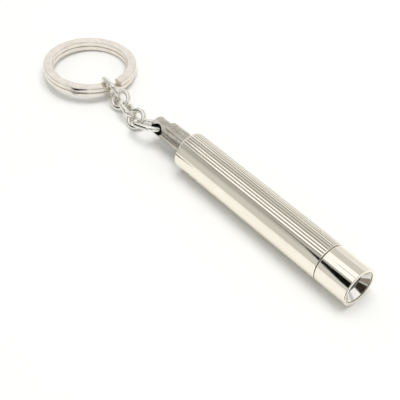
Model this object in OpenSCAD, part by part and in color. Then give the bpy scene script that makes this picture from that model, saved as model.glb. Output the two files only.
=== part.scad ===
// Keychain flashlight: a twist-head torch for one AAA cell in a silver sleeve, with a
// steel tail bar, a five-link chain and a split key ring.
// X runs along the torch towards the light, Z is up, and the torch and its chain lie on
// a table that touches the barrel at z = -barrel_d / 2. The origin is on the torch's axis,
// half way along the barrel sleeve.

/* [Barrel] */
// Outside diameter of the barrel sleeve and of the head
barrel_d = 13; // [13:0.1:13.4]
// Length of the barrel sleeve
barrel_l = 62.6; // [62.6:0.1:66]
// Wall of the silver sleeve
sleeve_wall = 0.48; // [0.4:0.02:0.48]
// Number of engraved lines along the sleeve
line_count = 30; // [10:1:30]
// Angle between two engraved lines, in degrees
line_pitch = 8.4; // [7:0.1:8.4]
// Angle of the first line, from level on the plain side up over the top
line_first = 58; // [50:1:70]
// Radius of the cutter that makes a line
line_r = 0.24; // [0.2:0.01:0.26]

/* [Head] */
// Length of the head, with the gap behind it
head_l = 12.2; // [12.2:0.1:13]
// Gap between barrel and head when the light is off
head_gap = 0.25; // [0.22:0.01:0.35]
// Inside radius of the front lip
lip_r = 5.47; // [5.2:0.01:5.5]
// Depth of the bright cone behind the front edge
cone_depth = 2.8; // [2.6:0.1:2.8]
// Radius of the opening at the bottom of the cone
throat_r = 3.6; // [3:0.1:3.8]

/* [Tail] */
// Radius of the steel tail bar
bar_r = 3.05; // [2.9:0.05:3.05]
// Length of the tail bar behind the barrel
bar_l = 16.9; // [16.5:0.1:18]
// Radius of the cross hole
hole_r = 1.9; // [1.9:0.05:2]
// Slope of the cross hole, rising towards the plain side, in degrees
hole_slope = 24; // [15:1:30]
// Outside radius of the half-round saddle on the bar
saddle_r = 4.1; // [3.8:0.1:4.3]
// Length of the saddle
saddle_l = 11; // [8:0.5:11]

/* [Chain] */
// Thickness of the link wire
wire_d = 1.7; // [1.6:0.05:1.7]
// Inside diameter of the two round links
round_id = 4.4; // [4.4:0.1:4.6]

/* [Key ring] */
// Outside radius of the split ring
ring_r = 16.6; // [16.5:0.05:16.8]
// Width of its flat wire, from inside to outside
ring_w = 3.25; // [3:0.05:3.25]
// Height of its two turns together
ring_h = 3.5; // [3.2:0.1:3.5]
// Gap between the two turns
ring_gap = 0.12; // [0.1:0.01:0.2]

/* [Hidden] */

// All places along the torch are measured from the rear end of the sleeve, at x = rear.
rear = -barrel_l / 2;
seam = barrel_l;
front = barrel_l + head_l;
floor_z = -barrel_d / 2;
barrel_r = barrel_d / 2;
sleeve_bore = barrel_r - sleeve_wall;
slip = 0.02;
edge = 0.15;

// Engraved lines: height of the cutter's centre above the surface, and the plain ends
line_lift = 0.1;
line_from = 0.5;
line_to = barrel_l - 0.3;

// Body tube, plug and cell
flange_x = 0.25;
tube_x = 1.75;
cell_bore = 5.4;
neck_r = 5.3;
neck_bore = 4.4;
neck_end = seam + 4.8;
neck_step = seam - 8.3;
spigot_end = 5.8;
cell_r = 5.2;
cell_x = 9.4;
cell_end = 52.6;
nub_end = cell_end + 1.3;
nub_r = 1.9;

// Lamp carriage
contact_gap = 0.2;
pin_x = nub_end + contact_gap;
cap_x = pin_x + 0.8;
holder_x = cap_x + 1.3;
holder_r = 4.35;
cavity_r = 3.7;
flange_back = neck_end + 0.95;
flange_front = flange_back + 1;
led_r = 2.5;
led_tip = flange_front + 1.45;
led_base = led_tip - 8.6;
board_x = led_base - 2;

// Head
head_x = seam + head_gap;
carrier_bore = neck_r + 0.06;
carrier_r = sleeve_bore - slip;
cone_x = front - cone_depth;
lip_t = 0.5;
shoulder_x = flange_front + 0.1;
seat_x = shoulder_x + 0.8;
lens_t = 0.95;
lens_r = 4.7;
seat_r = 5.22;

// Distance from the barrel back to the cross hole that the tail link hangs in
hole_back = 13.8;

// Links: inside length and inside width
tail_link_size = [11.7, 7.0];
middle_link_size = [6.9, 3.2];
ring_link_size = [7.7, 5.2];
tail_link_droop = 19.3;
tail_link_lead = 0.8;

// Where each link lies: place along the torch, y, and height above the table; then its
// turn about its own length, its slope and its heading
round_1_at = [-26.86, -1.27, 2.83];
round_1_turn = [40.4, 0, -0.6];
middle_at = [-32.3, -0.36, 2.97];
middle_turn = [-37.2, -1.2, -11.7];
round_2_at = [-37.73, 0.43, 3.36];
round_2_turn = [37.9, 7.4, -0.7];
ring_link_at = [-43.45, 0.57, 4.25];
ring_link_turn = [-79.2, -0.4, -2.7];
ring_at = [-59.29, 3.1, 3.46];
ring_turn = [-5.71, -1.72, 0];

// Split ring: its corners, and the sector between the two ends of its strip
ring_edge = 0.25;
ring_end = 4;
ring_step = 30;
ring_slot = 0.35;

// A point at an angle round the torch, measured from the plain side up over the top
function round_place(angle, r) = [0, -r * cos(angle), r * sin(angle)];

// ---- shared shapes ----

// Turned part: a profile of [radius, place along the torch] points, spun about the X axis
module turned(profile) {
    translate([rear, 0, 0]) rotate([0, 90, 0]) rotate_extrude($fn = 96) polygon(profile);
}

module tube(x0, x1, r_out, r_in) {
    turned([[r_in, x0], [r_out, x0], [r_out, x1], [r_in, x1]]);
}

module rod(x0, x1, r) {
    turned([[0, x0], [r, x0], [r, x1], [0, x1]]);
}

module rubber_ring(x, mean_r, section_r) {
    translate([rear + x, 0, 0]) rotate([0, 90, 0]) rotate_extrude($fn = 64)
        translate([mean_r, 0]) circle(r = section_r, $fn = 24);
}

// Oval wire link lying in the XY plane, centred, with its long way along X
module wire_link(inner_l, inner_w, wire = wire_d) {
    bend_r = (inner_w + wire) / 2;
    half = (inner_l - inner_w) / 2;
    for (s = [-1, 1]) {
        translate([s * half, 0, 0]) rotate([0, 0, s > 0 ? -90 : 90])
            rotate_extrude(angle = 180, $fn = 64)
                translate([bend_r, 0]) circle(r = wire / 2, $fn = 32);
        translate([-half, s * bend_r, 0]) rotate([0, 90, 0])
            cylinder(r = wire / 2, h = 2 * half, $fn = 32);
    }
}

// Round wire link lying in the XY plane
module round_link(wire = wire_d) {
    rotate_extrude($fn = 72)
        translate([(round_id + wire) / 2, 0]) circle(r = wire / 2, $fn = 32);
}

// Puts a link or the ring in its place on the table
module laid(at, turn) {
    translate(at + [rear, 0, floor_z]) rotate(turn) children();
}

// ---- torch body ----

module barrel_sleeve() color([0.93, 0.91, 0.87])
difference() {
    turned([[sleeve_bore, 0], [barrel_r - edge, 0], [barrel_r, edge],
            [barrel_r, seam - edge], [barrel_r - edge, seam], [sleeve_bore, seam]]);
    for (i = [0 : line_count - 1])
        translate([rear + line_from, 0, 0]
                  + round_place(line_first + i * line_pitch, barrel_r + line_lift))
            rotate([0, 90, 0]) cylinder(r = line_r, h = line_to - line_from, $fn = 16);
}

module body_tube() color([0.70, 0.70, 0.71])
difference() {
    turned([[cell_bore, tube_x], [sleeve_bore - slip, tube_x], [sleeve_bore - slip, seam],
            [neck_r, seam], [neck_r, seam + 1.2], [neck_r - 0.4, seam + 1.2],
            [neck_r - 0.4, seam + 2.2], [neck_r, seam + 2.2], [neck_r, neck_end - 0.3],
            [neck_r - 0.3, neck_end], [neck_bore, neck_end], [neck_bore, neck_step],
            [cell_bore, neck_step]]);
    // keyway that keeps the lamp holder from turning
    translate([rear + neck_step + 4.5, -0.55, 0])
        cube([neck_end - neck_step, 1.1, neck_bore + 0.35]);
}

module tail_plug() color([0.62, 0.60, 0.56])
difference() {
    turned([[0, -bar_l], [bar_r - 0.3, -bar_l], [bar_r, -bar_l + 0.3], [bar_r, flange_x],
            [sleeve_bore - slip, flange_x], [sleeve_bore - slip, tube_x],
            [cell_bore - slip, tube_x], [cell_bore - slip, 3], [4.9, 3], [4.9, 4.1],
            [cell_bore - slip, 4.1], [cell_bore - slip, spigot_end],
            [2, spigot_end], [2, spigot_end + 0.8], [0, spigot_end + 0.8]]);
    translate([rear - hole_back, 0, 0]) rotate([90 - hole_slope, 0, 0]) {
        cylinder(r = hole_r, h = 4 * bar_r, center = true, $fn = 48);
        for (s = [0, 180]) rotate([s, 0, 0]) translate([0, 0, bar_r - 0.35])
            cylinder(r1 = hole_r, r2 = hole_r + 0.8, h = 0.8, $fn = 48);
    }
}

module tail_saddle() color([0.64, 0.62, 0.58])
translate([rear - saddle_l, 0, 0]) rotate([-65, 0, 0]) rotate([90, 0, 90])
    rotate_extrude(angle = 180, $fn = 72)
        polygon([[bar_r + slip, 0], [saddle_r - 0.4, 0], [saddle_r, 0.4],
                 [saddle_r, saddle_l + flange_x - slip], [bar_r + slip, saddle_l + flange_x - slip]]);

module tail_o_ring() color([0.1, 0.1, 0.1]) rubber_ring(3.55, 5.13, 0.23);

// Conical coil spring between the plug and the cell, swept as one tube
spring_turns = 3.5;
spring_wire = 0.35;
spring_steps = 56;
spring_sides = 8;
spring_z0 = spigot_end + spring_wire;
spring_z1 = cell_x - spring_wire;

function spring_at(t) = let (a = 360 * spring_turns * t, r = 4.4 - 1.9 * t)
    [r * cos(a), r * sin(a), spring_z0 + (spring_z1 - spring_z0) * t];

function spring_ring(i) = let (t = i / spring_steps, c = spring_at(t),
        a = 360 * spring_turns * t, out = [cos(a), sin(a), 0])
    [for (k = [0 : spring_sides - 1]) let (b = 360 * k / spring_sides)
        c + spring_wire * (cos(b) * out + [0, 0, sin(b)])];

module battery_spring() color([0.75, 0.75, 0.75])
translate([rear, 0, 0]) rotate([0, 90, 0])
    polyhedron(
        points = [for (i = [0 : spring_steps]) each spring_ring(i)],
        faces = concat(
            [[for (k = [0 : spring_sides - 1]) k]],
            [for (i = [0 : spring_steps - 1], k = [0 : spring_sides - 1])
                let (a = i * spring_sides, n = (k + 1) % spring_sides, b = a + spring_sides)
                [a + k, b + k, b + n, a + n]],
            [[for (k = [spring_sides - 1 : -1 : 0]) spring_steps * spring_sides + k]]));

module battery_can() color([0.80, 0.80, 0.80])
turned([[0, cell_x], [3.4, cell_x], [3.8, cell_x + 0.2], [cell_r - 0.3, cell_x + 0.2],
        [cell_r - 0.06, cell_x + 0.5], [cell_r - 0.06, cell_end - 0.4],
        [cell_r - 0.5, cell_end], [4.4, cell_end], [4.4, cell_end - 0.6], [0, cell_end - 0.6]]);

module battery_jacket() color([0.25, 0.27, 0.30])
tube(cell_x + 0.6, cell_end - 0.5, cell_r, cell_r - 0.05);

module battery_seal() color([0.15, 0.15, 0.16])
tube(cell_end - 0.59, cell_end - 0.05, 4.39, 3.21);

module battery_cap() color([0.82, 0.82, 0.80])
turned([[0, cell_end - 0.59], [3.2, cell_end - 0.59], [3.2, cell_end - 0.25],
        [nub_r, cell_end - 0.1], [nub_r, nub_end - 0.25], [nub_r - 0.25, nub_end],
        [0, nub_end]]);

module neck_o_ring() color([0.1, 0.1, 0.1]) rubber_ring(seam + 1.7, 5.13, 0.21);

// ---- lamp carriage ----

module lamp_holder() color([0.90, 0.90, 0.88])
difference() {
    turned([[cavity_r, holder_x], [holder_r, holder_x], [holder_r, holder_x + 1.2],
            [holder_r - 0.4, holder_x + 1.2], [holder_r - 0.4, holder_x + 2.2],
            [holder_r, holder_x + 2.2], [holder_r, flange_back], [5, flange_back],
            [5, flange_front], [led_r + 0.05, flange_front], [led_r + 0.05, led_base + 1.05],
            [cavity_r, led_base + 1.05]]);
    translate([rear + holder_x + 3.8, 0, 3]) cylinder(r = 0.5, h = 2, $fn = 24);
}

module holder_cap() color([0.85, 0.85, 0.83])
turned([[0.82, cap_x], [holder_r, cap_x], [holder_r, holder_x - slip],
        [cavity_r - slip, holder_x - slip], [cavity_r - slip, holder_x + 0.8],
        [0.82, holder_x + 0.8]]);

module guide_pin() color([0.72, 0.72, 0.73])
translate([rear + holder_x + 3.8, 0, cavity_r + 0.02])
    cylinder(r = 0.48, h = neck_bore + 0.28 - cavity_r, $fn = 24);

module contact_pin() color([0.80, 0.66, 0.36])
turned([[0, pin_x], [1.3, pin_x], [1.6, pin_x + 0.3], [1.6, cap_x - slip],
        [0.8, cap_x - slip], [0.8, board_x - slip], [0, board_x - slip]]);

module ground_ring() color([0.80, 0.66, 0.36])
tube(holder_x + 1.25, holder_x + 2.15, neck_bore - 0.02, holder_r - 0.38);

module driver_board() color([0.12, 0.38, 0.22])
difference() {
    rod(board_x, board_x + 1, 3.65);
    for (s = [-1, 1]) translate([rear + board_x - 1, s * 1.27, 0]) rotate([0, 90, 0])
        cylinder(r = 0.32, h = 3, $fn = 24);
}

module driver_coil() color([0.22, 0.20, 0.19])
translate([rear + board_x - 1.8, 0, -2.2]) rotate([0, 90, 0]) {
    cylinder(r = 1.2, h = 0.4, $fn = 32);
    cylinder(r = 0.85, h = 1.8 - slip, $fn = 32);
    translate([0, 0, 1.4 - slip]) cylinder(r = 1.2, h = 0.4, $fn = 32);
}

module driver_chip() color([0.08, 0.08, 0.09])
translate([rear + board_x - 0.9, -1.2, 1.1]) cube([0.9 - slip, 2.4, 1.4]);

module led_lamp() color([0.92, 0.94, 0.96])
translate([rear + led_base, 0, 0]) rotate([0, 90, 0]) {
    cylinder(r = 2.9, h = 1, $fn = 64);
    cylinder(r = led_r, h = 6.1, $fn = 64);
    translate([0, 0, 6.1]) difference() {
        sphere(r = led_r, $fn = 64);
        translate([0, 0, -led_r]) cube(2 * led_r, center = true);
    }
}

module led_leads() color([0.78, 0.78, 0.76])
for (s = [-1, 1]) translate([rear + board_x + 0.05, s * 1.27, 0]) rotate([0, 90, 0])
    cylinder(r = 0.28, h = led_base - board_x - 0.05 - slip, $fn = 24);

// ---- head ----

module head_shell() color([0.93, 0.91, 0.87])
turned([[sleeve_bore, head_x], [barrel_r - edge, head_x], [barrel_r, head_x + edge],
        [barrel_r, front - 0.3], [barrel_r - 0.3, front], [lip_r + 0.1, front],
        [lip_r, front - 0.1], [lip_r, front - lip_t], [sleeve_bore, front - lip_t]]);

module head_carrier() color([0.70, 0.70, 0.71])
turned([[carrier_bore, head_x + 0.4], [carrier_r, head_x + 0.4], [carrier_r, front - lip_t - 1],
        [seat_r, front - lip_t - 1], [seat_r, seat_x], [3.9, seat_x], [3.9, shoulder_x],
        [carrier_bore, shoulder_x], [carrier_bore, flange_back - 0.1],
        [5.7, flange_back - 0.1], [5.7, flange_back - 0.6], [carrier_bore, flange_back - 0.6]]);

// Snap ring in the carrier that holds the lamp holder's flange
module retaining_ring() color([0.55, 0.55, 0.56])
difference() {
    tube(flange_back - 0.57, flange_back - 0.13, 5.68, 4.75);
    translate([rear + flange_back - 1, -0.6, -6]) cube([1.5, 1.2, 2]);
}

module reflector() color([0.90, 0.88, 0.84])
turned([[throat_r, cone_x], [seat_r - slip, cone_x], [seat_r - slip, front - lip_t - 1 + slip],
        [carrier_r, front - lip_t - 1 + slip], [carrier_r, front - lip_t - slip],
        [lip_r - 0.02, front - lip_t - slip]]);

module lens() color([0.85, 0.90, 0.92, 0.5])
rod(cone_x - slip - lens_t, cone_x - slip, lens_r);

module lens_o_ring() color([0.1, 0.1, 0.1])
rubber_ring((seat_x + cone_x - slip - lens_t) / 2, 4.45,
            (cone_x - slip - lens_t - seat_x) / 2 - 0.01);

// ---- chain and key ring ----

module tail_link() color([0.90, 0.89, 0.86])
translate([rear - hole_back, 0, 0]) rotate([-hole_slope, 0, 0]) rotate([0, -tail_link_droop, 0])
    translate([tail_link_lead - (tail_link_size[0] + wire_d) / 2, 0, 0])
        wire_link(tail_link_size[0], tail_link_size[1]);

module round_link_1() color([0.90, 0.89, 0.86])
laid(round_1_at, round_1_turn) round_link();

module middle_link() color([0.90, 0.89, 0.86])
laid(middle_at, middle_turn) wire_link(middle_link_size[0], middle_link_size[1]);

module round_link_2() color([0.90, 0.89, 0.86])
laid(round_2_at, round_2_turn) round_link();

module ring_link() color([0.90, 0.89, 0.86])
laid(ring_link_at, ring_link_turn) wire_link(ring_link_size[0], ring_link_size[1]);

// Two flat turns of one strip. One end is at a slot in the top turn and the other at a slot
// in the lower turn, and the strip crosses from turn to turn in the sector between them
module split_ring() color([0.92, 0.88, 0.85])
laid(ring_at, ring_turn) difference() {
    ring_in = ring_r - ring_w;
    h = ring_h / 2;
    e = ring_edge;
    rotate_extrude($fn = 144)
        polygon([[ring_in, e - h], [ring_in + e, -h], [ring_r - e, -h], [ring_r, e - h],
                 [ring_r, h - e], [ring_r - e, h], [ring_in + e, h], [ring_in, h - e]]);
    rotate([0, 0, ring_end]) rotate_extrude(angle = 360 - ring_step, $fn = 144)
        translate([ring_in - 1, -ring_gap / 2]) square([ring_w + 2, ring_gap]);
    rotate([0, 0, ring_end]) translate([ring_in - 1, 0, -ring_gap / 2])
        cube([ring_w + 2, ring_slot, ring_h]);
    rotate([0, 0, ring_end - ring_step]) translate([ring_in - 1, -ring_slot, ring_gap / 2 - ring_h])
        cube([ring_w + 2, ring_slot, ring_h]);
}

barrel_sleeve();
body_tube();
tail_plug();
tail_saddle();
tail_o_ring();
battery_spring();
battery_can();
battery_jacket();
battery_seal();
battery_cap();
neck_o_ring();
lamp_holder();
holder_cap();
guide_pin();
contact_pin();
ground_ring();
driver_board();
driver_coil();
driver_chip();
led_lamp();
led_leads();
head_shell();
head_carrier();
retaining_ring();
reflector();
lens();
lens_o_ring();
tail_link();
round_link_1();
middle_link();
round_link_2();
ring_link();
split_ring();
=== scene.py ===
import math
import bpy
from mathutils import Matrix, Vector


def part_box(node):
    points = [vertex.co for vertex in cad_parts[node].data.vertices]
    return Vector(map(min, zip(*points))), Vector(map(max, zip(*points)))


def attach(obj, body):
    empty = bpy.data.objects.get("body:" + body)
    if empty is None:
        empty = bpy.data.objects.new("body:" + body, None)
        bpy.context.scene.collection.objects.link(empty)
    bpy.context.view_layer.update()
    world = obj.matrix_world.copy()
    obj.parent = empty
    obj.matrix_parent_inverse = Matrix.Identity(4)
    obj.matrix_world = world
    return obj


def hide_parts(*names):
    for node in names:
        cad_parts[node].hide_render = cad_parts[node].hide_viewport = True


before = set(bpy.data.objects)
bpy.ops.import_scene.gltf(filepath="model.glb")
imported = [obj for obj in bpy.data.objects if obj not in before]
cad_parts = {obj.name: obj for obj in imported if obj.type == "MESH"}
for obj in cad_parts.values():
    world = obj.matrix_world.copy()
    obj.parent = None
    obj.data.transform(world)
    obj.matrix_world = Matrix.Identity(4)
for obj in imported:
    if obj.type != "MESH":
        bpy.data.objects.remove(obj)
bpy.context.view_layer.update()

# ---- Barrel sleeve ----
# The sleeve is thin drawn silver tube, slid over the body tube and polished bright.
# Thirty straight lines are engraved along it with a round cutter, and the side that faces
# the user is left plain. The lines hold a little tarnish that polishing doesn't reach.

MM = 0.001
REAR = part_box("barrel_sleeve")[0].x      # places along the torch are measured from here
SLEEVE_LENGTH = 62.6
SLEEVE_RADIUS = 6.5
SLEEVE_BORE = 6.02


def rounded(outline, radius, steps=4):
    """The outline with each corner turned into a small curve; a corner on the axis stays.
    A row close to each curve keeps the faces beside it from shading as if they were bent."""
    result = []
    for i, corner in enumerate(outline):
        here = Vector(corner)
        if here.x == 0:
            result.append(tuple(here))
            continue
        before, after = Vector(outline[i - 1]) - here, Vector(outline[(i + 1) % len(outline)]) - here
        start = here + before.normalized() * min(radius, before.length * 0.45)
        end = here + after.normalized() * min(radius, after.length * 0.45)
        result.append(tuple(start + before.normalized() * min(0.05, before.length * 0.04)))
        for k in range(steps + 1):
            t = k / steps
            result.append(tuple(start.lerp(here, t).lerp(here.lerp(end, t), t)))
        result.append(tuple(end + after.normalized() * min(0.05, after.length * 0.04)))
    return result


def smooth_shaded(mesh, sharp_degrees=32):
    mesh.shade_smooth()
    mesh.set_sharp_from_angle(angle=math.radians(sharp_degrees))


def as_object(name, mesh, material):
    mesh.name = name
    mesh.materials.clear()
    mesh.materials.append(material)
    piece = bpy.data.objects.new(name, mesh)
    bpy.context.scene.collection.objects.link(piece)
    return piece


def turned(name, outline, material, steps=256, first=0.0, sweep=360.0):
    """A lathe part: an outline of (radius, place along the torch) in mm, spun about the X
    axis. Angles run from the plain side (-Y) up over the top."""
    whole = sweep == 360.0
    count = steps if whole else steps + 1
    points = []
    for s in range(count):
        a = math.radians(first + sweep * s / steps)
        points += [(REAR + x * MM, -r * MM * math.cos(a), r * MM * math.sin(a)) for r, x in outline]
    n = len(outline)
    faces = []
    for s in range(steps):
        a, b = s * n, (s + 1) % count * n
        faces += [(a + j, a + (j + 1) % n, b + (j + 1) % n, b + j) for j in range(n)]
    if not whole:
        faces += [tuple(range(n)), tuple(range(steps * n, steps * n + n))]
    mesh = bpy.data.meshes.new(name)
    mesh.from_pydata(points, [], faces)
    tidy_mesh(mesh)
    smooth_shaded(mesh)
    return as_object(name, mesh, material)


def tidy_mesh(mesh):
    """Joins doubled points, drops what collapses, and points every face outwards."""
    import bmesh
    work = bmesh.new()
    work.from_mesh(mesh)
    bmesh.ops.remove_doubles(work, verts=work.verts, dist=1e-7)
    bmesh.ops.dissolve_degenerate(work, edges=work.edges, dist=1e-8)
    bmesh.ops.recalc_face_normals(work, faces=work.faces)
    work.to_mesh(mesh)
    work.free()


def add(tree, kind, feeds=(), **settings):
    """A node with its settings. feeds gives each input by name or number: a socket is
    linked, and anything else is set."""
    node = tree.nodes.new(kind)
    for setting, value in settings.items():
        setattr(node, setting, value)
    for key, value in dict(feeds).items():
        if isinstance(value, bpy.types.NodeSocket):
            tree.links.new(value, node.inputs[key])
        else:
            node.inputs[key].default_value = value
    return node


def calc(tree, operation, *values):
    kind = "ShaderNodeMath"
    return add(tree, kind, dict(enumerate(values)), operation=operation).outputs[0]


def metal(name, colour, roughness, metallic=1.0):
    material = bpy.data.materials.new(name)
    material.use_nodes = True
    shader = material.node_tree.nodes["Principled BSDF"]
    shader.inputs["Base Color"].default_value = (*colour, 1)
    shader.inputs["Metallic"].default_value = metallic
    shader.inputs["Roughness"].default_value = roughness
    return material, material.node_tree, shader


def wear(tree, shader, colour, shade, rough, cloud=160.0, grain=9000.0, stretch=(1, 1, 1),
         height=2e-6, strength=0.25):
    """Cloudy handling marks in colour and gloss, and a fine grain under them."""
    place = add(tree, "ShaderNodeTexCoord").outputs["Object"]
    clouds = add(tree, "ShaderNodeTexNoise", {"Vector": place, "Scale": cloud, "Detail": 6.0,
                                              "Roughness": 0.62}).outputs["Fac"]
    tone = add(tree, "ShaderNodeMapRange", {"Value": clouds, "From Min": 0.35, "From Max": 0.68})
    mixed = add(tree, "ShaderNodeMix", {"Factor": tone.outputs[0], "A": (*colour, 1),
                                        "B": (*shade, 1)}, data_type="RGBA")
    tree.links.new(mixed.outputs["Result"], shader.inputs["Base Color"])
    gloss = add(tree, "ShaderNodeMapRange", {"Value": clouds, "From Min": 0.3, "From Max": 0.7,
                                             "To Min": rough[0], "To Max": rough[1]})
    tree.links.new(gloss.outputs[0], shader.inputs["Roughness"])
    drawn = add(tree, "ShaderNodeMapping", {"Vector": place, "Scale": stretch}).outputs[0]
    fine = add(tree, "ShaderNodeTexNoise", {"Vector": drawn, "Scale": grain, "Detail": 3.0}).outputs["Fac"]
    bump = add(tree, "ShaderNodeBump", {"Height": fine, "Strength": strength, "Distance": height})
    tree.links.new(bump.outputs[0], shader.inputs["Normal"])
    return mixed, gloss, bump


def polished_silver(name, lines=False):
    """Mirror polish with hair scratches along the torch and soft fingerprints of haze."""
    bright, dull = (0.955, 0.905, 0.81), (0.92, 0.865, 0.76)
    material, tree, shader = metal(name, bright, 0.08)
    mixed, gloss, bump = wear(tree, shader, bright, dull, (0.045, 0.13), cloud=140,
                              grain=2600, stretch=(0.08, 1, 1), height=6e-7, strength=0.5)
    if lines:
        depth = add(tree, "ShaderNodeAttribute", attribute_name="groove").outputs["Fac"]
        tarnish = add(tree, "ShaderNodeMix", {"Factor": calc(tree, "MULTIPLY", depth, 0.8),
                                              "A": mixed.outputs["Result"],
                                              "B": (0.3, 0.28, 0.235, 1)}, data_type="RGBA")
        tree.links.new(tarnish.outputs["Result"], shader.inputs["Base Color"])
        dim = calc(tree, "MULTIPLY_ADD", depth, 0.16, gloss.outputs[0])
        tree.links.new(dim, shader.inputs["Roughness"])
    return material


OUTER_SKIN = 0.05 * MM          # points this near the outer wall are pressed in
GROOVE_SCALE = 12000.0          # a line counts as fully tarnished from 1/12 mm deep


def engraved_lines():
    """A tree that presses evenly spaced round lines into a tube's outer wall."""
    tree = bpy.data.node_groups.new("Engraved lines", "GeometryNodeTree")
    face = tree.interface
    face.new_socket("Geometry", in_out="INPUT", socket_type="NodeSocketGeometry")
    for label in ("Line count", "Line pitch", "First line", "Cutter radius", "Cutter height",
                  "Tube radius", "Lines start", "Lines end"):
        face.new_socket(label, in_out="INPUT", socket_type="NodeSocketFloat")
    face.new_socket("Material", in_out="INPUT", socket_type="NodeSocketMaterial")
    face.new_socket("Geometry", in_out="OUTPUT", socket_type="NodeSocketGeometry")
    given = add(tree, "NodeGroupInput").outputs
    place = add(tree, "ShaderNodeSeparateXYZ",
                {0: add(tree, "GeometryNodeInputPosition").outputs[0]}).outputs
    angle = calc(tree, "DEGREES", calc(tree, "ARCTAN2", place[2], calc(tree, "MULTIPLY", place[1], -1.0)))
    half = calc(tree, "MULTIPLY", given["Line pitch"], 0.5)
    turn = calc(tree, "SUBTRACT", calc(tree, "FLOORED_MODULO", calc(tree, "ADD", calc(
        tree, "SUBTRACT", angle, given["First line"]), half), 360.0), half)
    nearest = calc(tree, "MINIMUM", calc(tree, "ROUND", calc(tree, "DIVIDE", turn, given["Line pitch"])),
                   calc(tree, "SUBTRACT", given["Line count"], 1.0))
    nearest_turn = calc(tree, "MULTIPLY", nearest, given["Line pitch"])
    off = calc(tree, "RADIANS", calc(tree, "SUBTRACT", turn, nearest_turn))
    across = calc(tree, "MULTIPLY", off, given["Tube radius"])
    chord = calc(tree, "SUBTRACT", calc(tree, "POWER", given["Cutter radius"], 2.0),
                 calc(tree, "POWER", across, 2.0))
    depth = calc(tree, "MAXIMUM", calc(tree, "SUBTRACT", calc(
        tree, "SQRT", calc(tree, "MAXIMUM", chord, 0.0)), given["Cutter height"]), 0.0)
    between = calc(tree, "MULTIPLY", calc(tree, "GREATER_THAN", place[0], given["Lines start"]),
                   calc(tree, "LESS_THAN", place[0], given["Lines end"]))
    radius = calc(tree, "SQRT", calc(tree, "ADD", calc(tree, "POWER", place[1], 2.0),
                                     calc(tree, "POWER", place[2], 2.0)))
    outer = calc(tree, "GREATER_THAN", radius, calc(tree, "SUBTRACT", given["Tube radius"], OUTER_SKIN))
    cut = calc(tree, "MULTIPLY", calc(tree, "MULTIPLY", depth, between), outer)
    keep = calc(tree, "SUBTRACT", 1.0, calc(tree, "DIVIDE", cut, given["Tube radius"]))
    marked = add(tree, "GeometryNodeStoreNamedAttribute",
                 {"Geometry": given["Geometry"], "Name": "groove",
                  "Value": calc(tree, "MINIMUM", calc(tree, "MULTIPLY", cut, GROOVE_SCALE), 1.0)},
                 data_type="FLOAT", domain="POINT")
    moved = add(tree, "ShaderNodeCombineXYZ", {0: place[0], 1: calc(tree, "MULTIPLY", place[1], keep),
                                               2: calc(tree, "MULTIPLY", place[2], keep)})
    pressed = add(tree, "GeometryNodeSetPosition", {"Geometry": marked.outputs[0],
                                                    "Position": moved.outputs[0]})
    plain = add(tree, "GeometryNodeRealizeInstances", {0: pressed.outputs[0]})
    painted = add(tree, "GeometryNodeSetMaterial", {"Geometry": plain.outputs[0],
                                                    "Material": given["Material"]})
    add(tree, "NodeGroupOutput", {0: painted.outputs[0]})
    return tree


def grown(piece, tree, sizes):
    """Runs a tree on a piece with the given sizes and leaves a plain mesh behind."""
    modifier = piece.modifiers.new(tree.name, "NODES")
    modifier.node_group = tree
    sockets = {s.name: s.identifier for s in tree.interface.items_tree if s.in_out == "INPUT"}
    for label, value in sizes.items():
        modifier[sockets[label]] = value
    bpy.context.view_layer.update()
    result = bpy.data.meshes.new_from_object(piece.evaluated_get(bpy.context.evaluated_depsgraph_get()))
    piece.modifiers.clear()
    piece.data = result
    return piece


END_ROUND = 0.16
LINE_START, LINE_END = 0.45, 62.3
sleeve_silver = polished_silver("sleeve_silver", lines=True)
sleeve_outline = rounded([(SLEEVE_BORE, 0), (SLEEVE_RADIUS, 0), (SLEEVE_RADIUS, SLEEVE_LENGTH),
                          (SLEEVE_BORE, SLEEVE_LENGTH)], END_ROUND)
wall = [i for i, p in enumerate(sleeve_outline) if p[0] > SLEEVE_RADIUS - 1e-6 and p[1] < 1][-1]
stations = [LINE_START, LINE_START + 0.12, 15, 30, 45, LINE_END - 0.06, LINE_END]
sleeve_outline[wall + 1:wall + 1] = [(SLEEVE_RADIUS, x) for x in stations]
sleeve = turned("sleeve_with_lines", sleeve_outline, sleeve_silver, steps=1440)
grown(sleeve, engraved_lines(), {
    "Line count": 30.0, "Line pitch": 8.4, "First line": 58.0, "Cutter radius": 0.24 * MM,
    "Cutter height": 0.1 * MM, "Tube radius": SLEEVE_RADIUS * MM,
    "Lines start": REAR + (LINE_START + 0.06) * MM, "Lines end": REAR + (LINE_END - 0.03) * MM,
    "Material": sleeve_silver})
smooth_shaded(sleeve.data, 40)
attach(sleeve, "torch")
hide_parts("barrel_sleeve")

# ---- Body tube and neck O-ring ----
# The aluminium body tube carries the cell, and its neck runs inside the head. It is turned,
# so very fine rings go round it. A rubber O-ring in a groove on the neck keeps water out.


def turned_rings(tree, shader, along, height, strength=0.4):
    """Tool marks that go round the X axis: their height changes only along the torch."""
    place = add(tree, "ShaderNodeTexCoord").outputs["Object"]
    x = add(tree, "ShaderNodeSeparateXYZ", {0: place}).outputs[0]
    rings = add(tree, "ShaderNodeTexNoise", {"W": x, "Scale": along, "Detail": 4.0}, noise_dimensions="1D")
    before = shader.inputs["Normal"].links[0].from_socket
    bump = add(tree, "ShaderNodeBump", {"Height": rings.outputs["Fac"], "Strength": strength,
                                        "Distance": height, "Normal": before})
    tree.links.new(bump.outputs[0], shader.inputs["Normal"])


def paint(material, *nodes):
    """Gives CAD nodes their finish."""
    for node in nodes:
        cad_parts[node].material_slots[0].material = material


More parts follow.
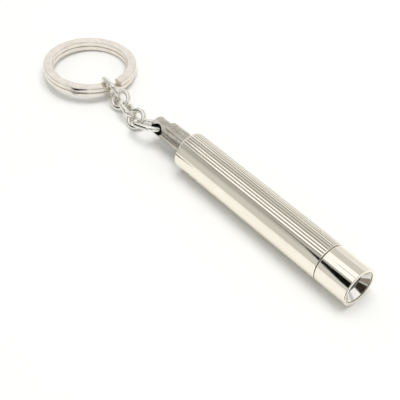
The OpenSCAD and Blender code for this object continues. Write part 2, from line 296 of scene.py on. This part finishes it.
tube_aluminium, tree, shader = metal("turned_aluminium", (0.72, 0.72, 0.73), 0.3)
wear(tree, shader, (0.74, 0.74, 0.75), (0.63, 0.63, 0.64), (0.24, 0.36), cloud=300)
turned_rings(tree, shader, 9000, 4e-6)
paint(tube_aluminium, "body_tube")

black_rubber, tree, shader = metal("black_rubber", (0.025, 0.025, 0.026), 0.6, metallic=0.0)
wear(tree, shader, (0.022, 0.022, 0.023), (0.05, 0.048, 0.045), (0.5, 0.72), cloud=900,
     grain=14000, height=6e-6, strength=0.5)
paint(black_rubber, "neck_o_ring", "tail_o_ring", "lens_o_ring")

# ---- Battery and its spring ----
# One AAA cell: a nickel-plated steel can in a thin shrink jacket, a nylon seal and a pressed
# cap with the raised contact. A cone of spring wire pushes it forward from the tail plug.

plated_steel, tree, shader = metal("plated_steel", (0.80, 0.80, 0.78), 0.22)
wear(tree, shader, (0.82, 0.82, 0.80), (0.66, 0.65, 0.62), (0.16, 0.32), cloud=500)
paint(plated_steel, "battery_can", "battery_cap", "led_leads")

cell_jacket, tree, shader = metal("cell_jacket", (0.10, 0.12, 0.15), 0.28, metallic=0.0)
wear(tree, shader, (0.10, 0.12, 0.15), (0.13, 0.15, 0.18), (0.22, 0.4), cloud=350,
     grain=1500, stretch=(0.3, 1, 1), height=8e-6, strength=0.3)
shader.inputs["Coat Weight"].default_value = 0.4
paint(cell_jacket, "battery_jacket")

black_plastic, tree, shader = metal("black_plastic", (0.05, 0.05, 0.055), 0.45, metallic=0.0)
wear(tree, shader, (0.05, 0.05, 0.055), (0.08, 0.08, 0.085), (0.38, 0.55), cloud=900,
     grain=12000, height=5e-6)
paint(black_plastic, "battery_seal", "driver_chip")

spring_steel, tree, shader = metal("spring_steel", (0.58, 0.58, 0.58), 0.24)
wear(tree, shader, (0.62, 0.62, 0.61), (0.44, 0.43, 0.41), (0.18, 0.36), cloud=900)
paint(spring_steel, "battery_spring", "retaining_ring", "guide_pin")

# ---- Tail plug ----
# The plug is turned from one steel bar and left satin: a flange against the body tube, a
# spigot inside it, and the bar behind with a flared cross hole for the chain.

BAR_RADIUS = 3.05
BAR_LENGTH = 16.9
HOLE_BACK = 13.8
HOLE_SLOPE = 24


def satin_steel_finish(name):
    """Warm grey steel with tool rings, streaks along the turning and cloudy handling marks."""
    light, dark = (0.60, 0.57, 0.51), (0.43, 0.40, 0.345)
    material, tree, shader = metal(name, light, 0.3)
    wear(tree, shader, light, dark, (0.22, 0.38), cloud=420, grain=7000, height=2.5e-6, strength=0.35)
    turned_rings(tree, shader, 14000, 5e-6, 0.5)
    shader.inputs["Anisotropic"].default_value = 0.55
    return material


satin_steel = satin_steel_finish("satin_steel")
plug_outline = rounded([
    (0, -BAR_LENGTH), (BAR_RADIUS - 0.32, -BAR_LENGTH), (BAR_RADIUS, -BAR_LENGTH + 0.32),
    (BAR_RADIUS, 0.25), (6.0, 0.25), (6.0, 1.75), (5.38, 1.75), (5.38, 3), (4.9, 3), (4.9, 4.1),
    (5.38, 4.1), (5.38, 5.8), (2, 5.8), (2, 6.6), (0, 6.6)], 0.1)
plug = turned("tail_bar_and_plug", plug_outline, satin_steel, steps=256)
flare = [(0, -4.6), (2.75, -4.6), (2.75, -3.06), (2.42, -2.98), (2.12, -2.78), (1.96, -2.5),
         (1.9, -2.2), (1.9, 2.2), (1.96, 2.5), (2.12, 2.78), (2.42, 2.98), (2.75, 3.06),
         (2.75, 4.6), (0, 4.6)]
# The cross hole's bore is painted near-black: painted shade inside the hole, not the colour of the steel.
hole_painted_shade, tree, shader = metal("hole_painted_shade", (0.05, 0.046, 0.042), 0.5)
wear(tree, shader, (0.055, 0.05, 0.045), (0.025, 0.023, 0.02), (0.4, 0.6), cloud=600, height=4e-6)
cutter = turned("hole_cutter", flare, hole_painted_shade, steps=96)
cutter.data.transform(Matrix.Translation((-REAR, 0, 0)))
cutter.data.transform(Matrix.Rotation(math.radians(-HOLE_SLOPE), 4, "X")
                      @ Matrix.Rotation(math.radians(90), 4, "Z"))
cutter.data.transform(Matrix.Translation((REAR - HOLE_BACK * MM, 0, 0)))


def cut_from(piece, tool):
    """Cuts one shape from another, removes the tool and leaves a plain mesh."""
    cut = piece.modifiers.new("cut", "BOOLEAN")
    cut.operation, cut.solver, cut.object = "DIFFERENCE", "EXACT", tool
    cut.material_mode = "TRANSFER"
    bpy.context.view_layer.update()
    piece_mesh = bpy.data.meshes.new_from_object(
        piece.evaluated_get(bpy.context.evaluated_depsgraph_get()))
    piece.modifiers.clear()
    piece.data = piece_mesh
    bpy.data.objects.remove(tool)
    tidy_mesh(piece_mesh)
    smooth_shaded(piece_mesh)


cut_from(plug, cutter)
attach(plug, "torch")
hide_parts("tail_plug")

# ---- Saddle ----
# A half-round steel shell, brazed on the bar where it enters the barrel. Its long edges are
# filed and catch the light as a thin bright line.

SADDLE_LENGTH = 11
SADDLE_EDGE = 65
saddle_outline = rounded([(3.07, -SADDLE_LENGTH), (3.75, -SADDLE_LENGTH), (4.1, -SADDLE_LENGTH + 0.35),
                          (4.1, 0.23), (3.07, 0.23)], 0.1)
saddle = turned("saddle", saddle_outline, satin_steel, steps=128, first=SADDLE_EDGE, sweep=180)
filed = saddle.modifiers.new("filed edges", "BEVEL")
filed.width, filed.segments, filed.limit_method = 0.07 * MM, 2, "ANGLE"
filed.angle_limit = math.radians(50)
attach(saddle, "torch")
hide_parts("tail_saddle")

# ---- Lamp carriage ----
# Behind the lens sits a moulded holder that slides in the neck as the head turns. It holds a
# driver board with its coil and chip, a brass contact pin and earth ring, and the lamp.

white_plastic, tree, shader = metal("white_plastic", (0.85, 0.85, 0.82), 0.42, metallic=0.0)
wear(tree, shader, (0.86, 0.86, 0.83), (0.78, 0.775, 0.74), (0.36, 0.5), cloud=500,
     grain=12000, height=4e-6)
paint(white_plastic, "holder_cap")
paint(black_plastic, "lamp_holder")

contact_brass, tree, shader = metal("contact_brass", (0.80, 0.64, 0.32), 0.24)
wear(tree, shader, (0.82, 0.66, 0.34), (0.62, 0.46, 0.2), (0.18, 0.34), cloud=700)
turned_rings(tree, shader, 12000, 3e-6)
paint(contact_brass, "contact_pin", "ground_ring")

ferrite, tree, shader = metal("ferrite", (0.16, 0.15, 0.145), 0.6, metallic=0.0)
wear(tree, shader, (0.17, 0.16, 0.155), (0.1, 0.095, 0.09), (0.5, 0.75), cloud=2500, height=1e-5,
     strength=0.6)
paint(ferrite, "driver_coil")

circuit_board, tree, shader = metal("circuit_board", (0.06, 0.22, 0.11), 0.35, metallic=0.0)
wear(tree, shader, (0.05, 0.2, 0.1), (0.09, 0.28, 0.15), (0.28, 0.42), cloud=1500,
     grain=4000, height=1e-5, strength=0.4)
shader.inputs["Coat Weight"].default_value = 0.5
paint(circuit_board, "driver_board")

# ---- Lamp ----
# A 5 mm lamp cast in clear resin with a low collar. Inside, a silvery cup on the lead frame
# holds the die under a yellow phosphor cap.

LAMP_BASE = 62.2
LAMP_TIP = LAMP_BASE + 8.6
LAMP_RADIUS = 2.5
led_resin, tree, shader = metal("led_resin", (0.96, 0.97, 0.98), 0.06, metallic=0.0)
wear(tree, shader, (0.96, 0.97, 0.98), (0.90, 0.92, 0.93), (0.04, 0.1), cloud=600, height=1e-6)
shader.inputs["Transmission Weight"].default_value = 0.9
shader.inputs["IOR"].default_value = 1.53
DOME_BASE = LAMP_TIP - LAMP_RADIUS
dome = [(LAMP_RADIUS * math.cos(math.radians(a)), DOME_BASE + LAMP_RADIUS * math.sin(math.radians(a)))
        for a in range(0, 90, 6)]
resin = turned("lamp_resin", [(0, LAMP_BASE), (2.82, LAMP_BASE), (2.9, LAMP_BASE + 0.08),
                              (2.9, LAMP_BASE + 0.92), (2.82, LAMP_BASE + 1), (LAMP_RADIUS, LAMP_BASE + 1)]
               + dome + [(0, LAMP_TIP)], led_resin, steps=96)
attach(resin, "lamp_carriage")
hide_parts("led_lamp")
cup_silver, tree, shader = metal("cup_silver", (0.85, 0.85, 0.83), 0.2)
wear(tree, shader, (0.86, 0.86, 0.84), (0.7, 0.7, 0.67), (0.14, 0.3), cloud=1500)
CUP = LAMP_BASE + 4.6
cup = turned("lamp_cup", [(0, CUP - 0.8), (0.9, CUP - 0.8), (1.15, CUP), (0.95, CUP), (0.6, CUP - 0.5),
                          (0, CUP - 0.5)], cup_silver, steps=64)
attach(cup, "lamp_carriage")
phosphor, tree, shader = metal("phosphor", (0.85, 0.68, 0.12), 0.5, metallic=0.0)
wear(tree, shader, (0.87, 0.72, 0.16), (0.78, 0.6, 0.08), (0.4, 0.6), cloud=3000, height=1e-5)
cap = turned("phosphor_cap", [(0, CUP - 0.49), (0.59, CUP - 0.49), (0.9, CUP - 0.04), (0.6, CUP + 0.06),
                              (0, CUP + 0.12)], phosphor, steps=64)
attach(cap, "lamp_carriage")

# ---- Lens ----
# A flat window of clear coated glass with ground edges, sealed in front of the lamp by its
# O-ring. The coating takes away most of its reflection, and the carrier behind it has painted
# shade, so the mouth looks dark.

lens_glass, tree, shader = metal("lens_glass", (0.97, 0.99, 0.985), 0.03, metallic=0.0)
shader.inputs["Specular IOR Level"].default_value = 0.1
wear(tree, shader, (0.97, 0.99, 0.985), (0.93, 0.96, 0.95), (0.01, 0.05), cloud=400, height=2e-7)
shader.inputs["Transmission Weight"].default_value = 1.0
shader.inputs["IOR"].default_value = 1.5
CONE_BOTTOM = 72.0
window = turned("lens_window", rounded([(0, CONE_BOTTOM - 0.97), (4.7, CONE_BOTTOM - 0.97),
                                        (4.7, CONE_BOTTOM - 0.02), (0, CONE_BOTTOM - 0.02)], 0.12),
                lens_glass, steps=128)
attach(window, "head")
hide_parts("lens")

# The head carrier behind it is aluminium like the body tube. Inside its lens seat and throat
# the colour is painted near-black and not metal: painted shade in the mouth round the lamp.
SEAT_RADIUS = 5.4
SEAT_BACK = 68.5
carrier_aluminium_and_painted_shade, tree, shader = metal("carrier_aluminium_and_painted_shade", (0.72, 0.72, 0.73), 0.3)
mixed = wear(tree, shader, (0.74, 0.74, 0.75), (0.63, 0.63, 0.64), (0.24, 0.36), cloud=300)[0]
turned_rings(tree, shader, 9000, 4e-6)
spot = add(tree, "ShaderNodeSeparateXYZ", {0: add(tree, "ShaderNodeTexCoord").outputs["Object"]}).outputs
from_axis = calc(tree, "SQRT", calc(tree, "ADD", calc(tree, "POWER", spot[1], 2.0),
                                    calc(tree, "POWER", spot[2], 2.0)))
# Painted shade: inside the lens seat and throat the colour is mixed to near-black and made non-metal.
painted_shade_mask = calc(tree, "MULTIPLY", calc(tree, "LESS_THAN", from_axis, SEAT_RADIUS * MM),
             calc(tree, "GREATER_THAN", spot[0], REAR + SEAT_BACK * MM))
painted_shade_colour = add(tree, "ShaderNodeMix", {"Factor": painted_shade_mask, "A": mixed.outputs["Result"],
                                        "B": (0.012, 0.012, 0.013, 1)}, data_type="RGBA")
tree.links.new(painted_shade_colour.outputs["Result"], shader.inputs["Base Color"])
tree.links.new(calc(tree, "SUBTRACT", 1.0, painted_shade_mask), shader.inputs["Metallic"])
paint(carrier_aluminium_and_painted_shade, "head_carrier")

# ---- Reflector cone ----
# The bright cone in the mouth is turned with a keen tool and polished, so it mirrors the
# room with a trace of fine rings.

THROAT_RADIUS = 3.6
LIP_RADIUS = 5.47
FRONT = 74.8
cone_bright = (0.88, 0.86, 0.82)
bright_cone, tree, shader = metal("bright_cone", cone_bright, 0.1)
wear(tree, shader, cone_bright, (0.8, 0.775, 0.73), (0.06, 0.16), cloud=350, grain=4000, height=8e-7)
turned_rings(tree, shader, 11000, 2e-6, 0.35)
cone = turned("reflector_cone", rounded([
    (THROAT_RADIUS, CONE_BOTTOM), (5.2, CONE_BOTTOM), (5.2, 73.32), (6.0, 73.32), (6.0, 74.28),
    (5.45, 74.28)], 0.06), bright_cone, steps=360)
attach(cone, "head")
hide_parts("reflector")

# ---- Head shell ----
# The head's silver shell matches the sleeve. Its rim is rolled over the cone, and its edges
# are rounded by polishing.

HEAD_BACK = 62.85
head_silver = polished_silver("head_silver")
shell = turned("head_shell_silver", rounded([
    (SLEEVE_BORE, HEAD_BACK), (SLEEVE_RADIUS, HEAD_BACK), (SLEEVE_RADIUS, FRONT), (LIP_RADIUS, FRONT),
    (LIP_RADIUS, FRONT - 0.5), (SLEEVE_BORE, FRONT - 0.5)], 0.24), head_silver, steps=720)
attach(shell, "head")
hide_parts("head_shell")

# ---- Chain links ----
# Five links of 1.7 mm silver wire, bent round a former, soldered shut and polished. Two are
# round and three are oval; the longest hangs in the cross hole of the tail bar.

WIRE = 1.7
link_silver, tree, shader = metal("link_silver", (0.92, 0.905, 0.87), 0.07)
wear(tree, shader, (0.93, 0.91, 0.86), (0.82, 0.80, 0.74), (0.025, 0.08), cloud=420, grain=2600,
     height=1.2e-6, strength=0.5)


def wire_links():
    """A tree that sweeps round wire along an oval, or along a circle if both sizes match."""
    tree = bpy.data.node_groups.new("Wire link", "GeometryNodeTree")
    face = tree.interface
    for label in ("Inside length", "Inside width", "Wire"):
        face.new_socket(label, in_out="INPUT", socket_type="NodeSocketFloat")
    for label in ("Bend steps", "Wire sides"):
        face.new_socket(label, in_out="INPUT", socket_type="NodeSocketInt")
    face.new_socket("Material", in_out="INPUT", socket_type="NodeSocketMaterial")
    face.new_socket("Geometry", in_out="OUTPUT", socket_type="NodeSocketGeometry")
    given = add(tree, "NodeGroupInput").outputs
    length = calc(tree, "ADD", given["Inside length"], given["Wire"])
    width = calc(tree, "ADD", given["Inside width"], given["Wire"])
    former = add(tree, "GeometryNodeCurvePrimitiveQuadrilateral", {"Width": length, "Height": width})
    bend = calc(tree, "MULTIPLY", width, 0.4995)
    path = add(tree, "GeometryNodeFilletCurve", {"Curve": former.outputs[0], "Count": given["Bend steps"],
                                                 "Radius": bend, "Limit Radius": True}, mode="POLY")
    section = add(tree, "GeometryNodeCurvePrimitiveCircle",
                  {"Resolution": given["Wire sides"], "Radius": calc(tree, "MULTIPLY", given["Wire"], 0.5)})
    swept = add(tree, "GeometryNodeCurveToMesh", {"Curve": path.outputs[0],
                                                  "Profile Curve": section.outputs[0]})
    plain = add(tree, "GeometryNodeRealizeInstances", {0: swept.outputs[0]})
    painted = add(tree, "GeometryNodeSetMaterial", {"Geometry": plain.outputs[0],
                                                    "Material": given["Material"]})
    add(tree, "NodeGroupOutput", {0: painted.outputs[0]})
    return tree


link_tree = wire_links()


def turned_to(turn):
    """Turn about the X, then the Y, then the Z axis, in degrees."""
    x, y, z = (math.radians(v) for v in turn)
    return (Matrix.Rotation(z, 4, "Z") @ Matrix.Rotation(y, 4, "Y") @ Matrix.Rotation(x, 4, "X"))


TAIL_LINK_DROP = 19.3
tail_link_turn = (Matrix.Rotation(math.radians(-HOLE_SLOPE), 4, "X")
                  @ Matrix.Rotation(math.radians(-TAIL_LINK_DROP), 4, "Y"))
for node, inside, turn in (
        ("tail_link", (11.7, 7.0), tail_link_turn),
        ("round_link_1", (4.4, 4.4), turned_to((40.4, 0, -0.6))),
        ("middle_link", (6.9, 3.2), turned_to((-37.2, -1.2, -11.7))),
        ("round_link_2", (4.4, 4.4), turned_to((37.9, 7.4, -0.7))),
        ("ring_link", (7.7, 5.2), turned_to((-79.2, -0.4, -2.7)))):
    low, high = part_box(node)
    link = as_object(node + "_wire", bpy.data.meshes.new(node), link_silver)
    grown(link, link_tree, {"Inside length": inside[0] * MM, "Inside width": inside[1] * MM,
                            "Wire": WIRE * MM, "Bend steps": 20, "Wire sides": 40,
                            "Material": link_silver})
    link.data.transform(Matrix.Translation((low + high) / 2) @ turn)
    tidy_mesh(link.data)
    link.data.shade_smooth()
    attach(link, node + "_body")
    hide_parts(node)

# ---- Split ring ----
# One strip of hardened flat wire, wound twice. It ends at the top and underneath, and crosses
# from the upper turn to the lower one between its ends. The finish is a soft tumbled satin.
# The crossing is shorter than the CAD solid's, so the upper turn runs on towards the link.

RING_RADIUS = 16.6
STRIP_WIDTH = 3.25
STRIP_HEIGHT = 1.69
TURN_OFFSET = 0.905
STRIP_END = 4
STRIP_CROSSING = 14
END_SLOT = 1.4
RING_TILT = (-5.71, -1.72, 0)
ring_light, ring_dark = (0.87, 0.81, 0.74), (0.79, 0.725, 0.65)
ring_silver, tree, shader = metal("ring_silver", ring_light, 0.2)
wear(tree, shader, ring_light, ring_dark, (0.13, 0.27), cloud=330, grain=2200, height=2.5e-6, strength=0.6)


def ring_strip():
    """A tree that winds a flat strip twice round a circle, with one crossing."""
    tree = bpy.data.node_groups.new("Ring strip", "GeometryNodeTree")
    face = tree.interface
    for label in ("Mean radius", "Strip width", "Strip height", "Corner", "Turn offset", "First angle",
                  "Last angle", "Crossing from", "Crossing to"):
        face.new_socket(label, in_out="INPUT", socket_type="NodeSocketFloat")
    face.new_socket("Steps", in_out="INPUT", socket_type="NodeSocketInt")
    face.new_socket("Material", in_out="INPUT", socket_type="NodeSocketMaterial")
    face.new_socket("Geometry", in_out="OUTPUT", socket_type="NodeSocketGeometry")
    given = add(tree, "NodeGroupInput").outputs
    line = add(tree, "GeometryNodeMeshLine", {"Count": given["Steps"], "Offset": (0, 0, 1)})
    strand = add(tree, "GeometryNodeMeshToCurve", {0: line.outputs[0]})
    share = calc(tree, "DIVIDE", add(tree, "GeometryNodeInputIndex").outputs[0],
                 calc(tree, "SUBTRACT", given["Steps"], 1.0))
    sweep = calc(tree, "SUBTRACT", given["Last angle"], given["First angle"])
    angle = calc(tree, "MULTIPLY_ADD", share, sweep, given["First angle"])
    turn = calc(tree, "RADIANS", angle)
    sunk = add(tree, "ShaderNodeMapRange", {"Value": angle, "From Min": given["Crossing from"],
                                            "From Max": given["Crossing to"], "To Min": 1.0, "To Max": -1.0},
               interpolation_type="SMOOTHSTEP").outputs[0]
    spot = add(tree, "ShaderNodeCombineXYZ", {
        0: calc(tree, "MULTIPLY", given["Mean radius"], calc(tree, "COSINE", turn)),
        1: calc(tree, "MULTIPLY", given["Mean radius"], calc(tree, "SINE", turn)),
        2: calc(tree, "MULTIPLY", given["Turn offset"], sunk)})
    wound = add(tree, "GeometryNodeSetPosition", {"Geometry": strand.outputs[0],
                                                  "Position": spot.outputs[0]})
    upright = add(tree, "GeometryNodeSetCurveNormal", {0: wound.outputs[0]}, mode="Z_UP")
    flat = add(tree, "GeometryNodeCurvePrimitiveQuadrilateral", {"Width": given["Strip width"],
                                                                  "Height": given["Strip height"]})
    section = add(tree, "GeometryNodeFilletCurve", {"Curve": flat.outputs[0], "Count": 5,
                                                    "Radius": given["Corner"], "Limit Radius": True},
                  mode="POLY")
    swept = add(tree, "GeometryNodeCurveToMesh", {"Curve": upright.outputs[0],
                                                  "Profile Curve": section.outputs[0],
                                                  "Fill Caps": True})
    plain = add(tree, "GeometryNodeRealizeInstances", {0: swept.outputs[0]})
    painted = add(tree, "GeometryNodeSetMaterial", {"Geometry": plain.outputs[0],
                                                    "Material": given["Material"]})
    add(tree, "NodeGroupOutput", {0: painted.outputs[0]})
    return tree


low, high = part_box("split_ring")
ring = as_object("split_ring_strip", bpy.data.meshes.new("strip"), ring_silver)
grown(ring, ring_strip(), {
    "Mean radius": (RING_RADIUS - STRIP_WIDTH / 2) * MM, "Strip width": STRIP_WIDTH * MM,
    "Strip height": STRIP_HEIGHT * MM, "Corner": 0.3 * MM, "Turn offset": TURN_OFFSET * MM,
    "First angle": STRIP_END + END_SLOT, "Last angle": STRIP_END + 720.0 - STRIP_CROSSING - END_SLOT,
    "Crossing from": STRIP_END + 360.0 - STRIP_CROSSING, "Crossing to": STRIP_END + 360.0,
    "Steps": 640, "Material": ring_silver})
ring.data.transform(Matrix.Translation((low + high) / 2) @ turned_to(RING_TILT))
tidy_mesh(ring.data)
smooth_shaded(ring.data, 50)
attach(ring, "split_ring_body")
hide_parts("split_ring")

# ---- Studio ----
# A plain white table in a soft grey-white room with a broad light overhead. White screens and
# dark cards around it are seen only by the polished metal, and give it its bands. The two cards
# lying on the table give the metal painted dark reflections of the table.

TABLE = -0.0065
ROOM_LEVEL = 0.64
studio = bpy.context.scene


def flat_sheet(name, corners, material):
    mesh = bpy.data.meshes.new(name)
    mesh.from_pydata(corners, [], [tuple(range(len(corners)))])
    return as_object(name, mesh, material)


table_white, tree, shader = metal("table_white", (0.93, 0.93, 0.93), 0.6, metallic=0.0)
shader.inputs["Specular IOR Level"].default_value = 0.1
table = flat_sheet("table", [(-2, -2, TABLE), (2, -2, TABLE), (2, 2, TABLE), (-2, 2, TABLE)], table_white)

key = bpy.data.lights.new("key_light", "AREA")
key.shape, key.size, key.energy, key.color = "SQUARE", 0.5, 3.6, (1.0, 0.985, 0.985)
key_light = bpy.data.objects.new("key_light", key)
key_light.location = (0.02, 0.08, 0.80)
key_light.rotation_euler = (Vector((-0.03, 0, 0)) - key_light.location).to_track_quat("-Z", "Y").to_euler()
key_light.visible_glossy = False
studio.collection.objects.link(key_light)


def reflected_card(name, corners, colour, level):
    """A card that only mirror-like surfaces see."""
    glow = bpy.data.materials.new(name)
    glow.use_nodes = True
    glow.node_tree.nodes.clear()
    light = add(glow.node_tree, "ShaderNodeEmission", {"Color": (*colour, 1), "Strength": level})
    add(glow.node_tree, "ShaderNodeOutputMaterial", {0: light.outputs[0]})
    card = flat_sheet(name, corners, glow)
    card.visible_camera = card.visible_shadow = card.visible_diffuse = card.visible_transmission = False


WHITE, NEUTRAL, UMBER = (1.0, 1.0, 1.0), (1.0, 1.0, 0.96), (1.0, 0.72, 0.52)
for name, corners, colour, level in (
        ("top_screen", [(-0.36, -0.33, 0.5), (-0.02, -0.33, 0.5), (-0.02, 0.13, 0.5), (-0.36, 0.13, 0.5)],
         WHITE, 1.1),
        ("screen_seam", [(-0.17, -0.095, 0.49), (-0.1, -0.095, 0.49), (-0.1, -0.08, 0.49),
                         (-0.17, -0.08, 0.49)], WHITE, 0.02),
        ("back_screen", [(-0.7, 0.5, 0.0), (0.3, 0.5, 0.0), (0.3, 0.5, 0.4), (-0.7, 0.5, 0.4)],
         NEUTRAL, 0.84),
        ("left_screen", [(-0.45, 0.1, 0.08), (-0.45, 0.6, 0.08), (-0.45, 0.6, 0.5), (-0.45, 0.1, 0.5)],
         WHITE, 0.98),
        ("grey_card_high", [(-0.5, -0.3, 0.25), (0.0, -0.3, 0.25), (0.0, -0.3, 0.42), (-0.5, -0.3, 0.42)],
         NEUTRAL, 0.42),
        ("grey_card_low", [(-0.5, -0.3, 0.18), (0.0, -0.3, 0.18), (0.0, -0.3, 0.25), (-0.5, -0.3, 0.25)],
         NEUTRAL, 0.55),
        ("black_card", [(-0.15, -0.15, 0.21), (-0.07, -0.15, 0.155), (0.02, -0.15, 0.17),
                        (0.02, -0.15, 0.04), (-0.02, -0.15, 0.05), (-0.07, -0.15, 0.145)], WHITE, 0.002),
        ("chain_black", [(-0.075, -0.01, 0.0), (-0.075, -0.07, 0.0), (-0.075, -0.06, 0.03),
                         (-0.075, -0.01, 0.01)], WHITE, 0.005),
        ("chain_white", [(-0.075, -0.01, 0.01), (-0.075, -0.06, 0.03), (-0.075, -0.04, 0.055),
                         (-0.075, 0.01, 0.065), (-0.075, 0.0, 0.02)], WHITE, 1.1),
        # A near-black card lying on the table beside the chain, seen only in the links: a painted dark
        # reflection there.
        ("chain_floor_painted_reflection", [(-0.047, -0.045, -0.0063), (-0.047, -0.018, -0.0063),
                         (-0.08, -0.018, -0.0063), (-0.08, -0.045, -0.0063)], WHITE, 0.03),
        # A tan card on the table in front of the mouth, seen only in the cone: a painted reflection of the
        # table's shadow there.
        ("front_floor_painted_shadow", [(0.0475, -0.2, -0.0063), (0.2, -0.2, -0.0063),
                         (0.2, 0.0, -0.0063), (0.0475, 0.0, -0.0063)], (1.0, 0.88, 0.76), 0.3),
        ("front_screen", [(0.35, 0.02, 0.1), (0.35, 0.35, 0.1), (0.35, 0.35, 0.4), (0.35, 0.02, 0.4)],
         WHITE, 1.05),
        ("front_card", [(0.35, -0.26, 0.03), (0.35, 0.0, 0.03), (0.35, 0.0, 0.25), (0.35, -0.26, 0.25)],
         UMBER, 0.03)):
    reflected_card(name, corners, colour, level)

world = bpy.data.worlds.new("soft room")
studio.world = world
world.use_nodes = True
world.node_tree.nodes["Background"].inputs["Color"].default_value = (0.985, 1.0, 0.955, 1)
world.node_tree.nodes["Background"].inputs["Strength"].default_value = ROOM_LEVEL

camera = bpy.data.objects.new("camera", bpy.data.cameras.new("camera"))
camera.location = (0.143, -0.146, 0.2175)
looking = Vector((-0.017, -0.008, TABLE)) - camera.location
camera.rotation_euler = looking.to_track_quat("-Z", "Y").to_euler()
camera.data.lens, camera.data.sensor_width, camera.data.clip_start = 86.9, 36.0, 0.01
studio.collection.objects.link(camera)
studio.camera = camera
studio.view_settings.view_transform = "Standard"
